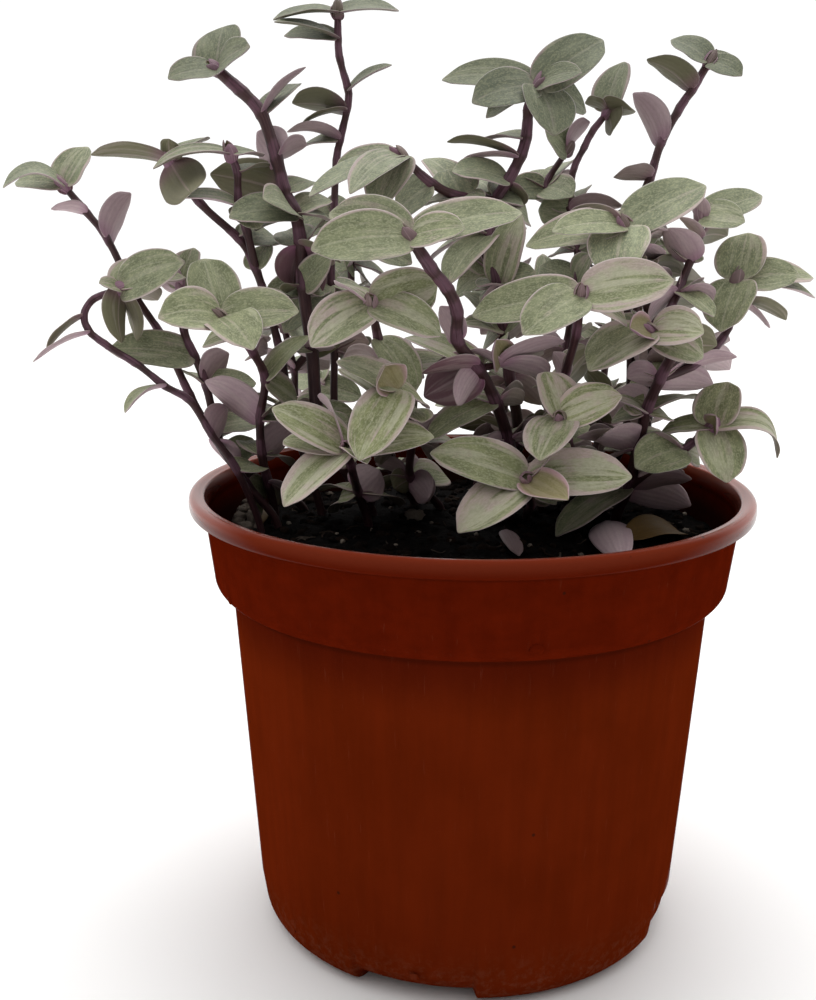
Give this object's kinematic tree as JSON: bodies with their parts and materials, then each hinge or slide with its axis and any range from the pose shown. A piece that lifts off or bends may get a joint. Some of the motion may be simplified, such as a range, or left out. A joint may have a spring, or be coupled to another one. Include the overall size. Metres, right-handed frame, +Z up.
{
  "type": "potted pink lady turtle vine",
  "caption": "Trailing houseplant with jointed maroon stems and pointed striped leaves, planted in soil in a tapered plastic nursery pot that stands on its feet",
  "frame": {"origin": "on the surface that the pot stands on, under the middle of the plant's spread", "axes": "+Z up; -Y towards the eye of the picture; +X to the picture's right"},
  "size_m": [0.1712, 0.137, 0.1991],
  "materials": {
    "terracotta_plastic": "satin",
    "peat": "matte",
    "maroon_stem": "satin",
    "striped_leaf": "satin"
  },
  "bodies": {
    "root": {"leaves_back_green": "striped_leaf", "leaves_back_left": "striped_leaf", "leaves_back_left_low": "striped_leaf", "leaves_back_left_top": "striped_leaf", "leaves_back_middle": "striped_leaf", "leaves_back_middle_low": "striped_leaf", "leaves_back_middle_side": "striped_leaf", "leaves_back_right": "striped_leaf", "leaves_back_right_low": "striped_leaf", "leaves_back_right_top": "striped_leaf", "leaves_back_tall": "striped_leaf", "leaves_centre": "striped_leaf", "leaves_centre_left": "striped_leaf", "leaves_far_left": "striped_leaf", "leaves_front_cup": "striped_leaf", "leaves_front_left": "striped_leaf", "leaves_front_middle": "striped_leaf", "leaves_left_back": "striped_leaf", "leaves_left_fork": "striped_leaf", "leaves_left_low": "striped_leaf", "leaves_left_olive": "striped_leaf", "leaves_left_round": "striped_leaf", "leaves_middle_bud": "striped_leaf", "leaves_middle_right": "striped_leaf", "leaves_right_centre": "striped_leaf", "leaves_right_cluster": "striped_leaf", "leaves_right_low": "striped_leaf", "leaves_right_middle": "striped_leaf", "leaves_right_pink": "striped_leaf", "leaves_right_round": "striped_leaf", "leaves_top": "striped_leaf", "leaves_top_right": "striped_leaf", "leaves_upper_cluster": "striped_leaf", "leaves_upper_left": "striped_leaf", "leaves_upper_middle": "striped_leaf", "pot": "terracotta_plastic", "soil": "peat", "stem_back_left": "maroon_stem", "stem_back_middle": "maroon_stem", "stem_back_right": "maroon_stem", "stem_back_tall": "maroon_stem", "stem_centre": "maroon_stem", "stem_centre_left": "maroon_stem", "stem_far_left": "maroon_stem", "stem_front_cup": "maroon_stem", "stem_front_left": "maroon_stem", "stem_front_middle": "maroon_stem", "stem_left_back": "maroon_stem", "stem_left_low": "maroon_stem", "stem_left_olive": "maroon_stem", "stem_left_round": "maroon_stem", "stem_middle_right": "maroon_stem", "stem_right_centre": "maroon_stem", "stem_right_middle": "maroon_stem", "stem_right_round": "maroon_stem", "stem_top": "maroon_stem", "stem_top_right": "maroon_stem", "stem_upper_left": "maroon_stem", "stem_upper_middle": "maroon_stem"}
  },
  "joints": []
}
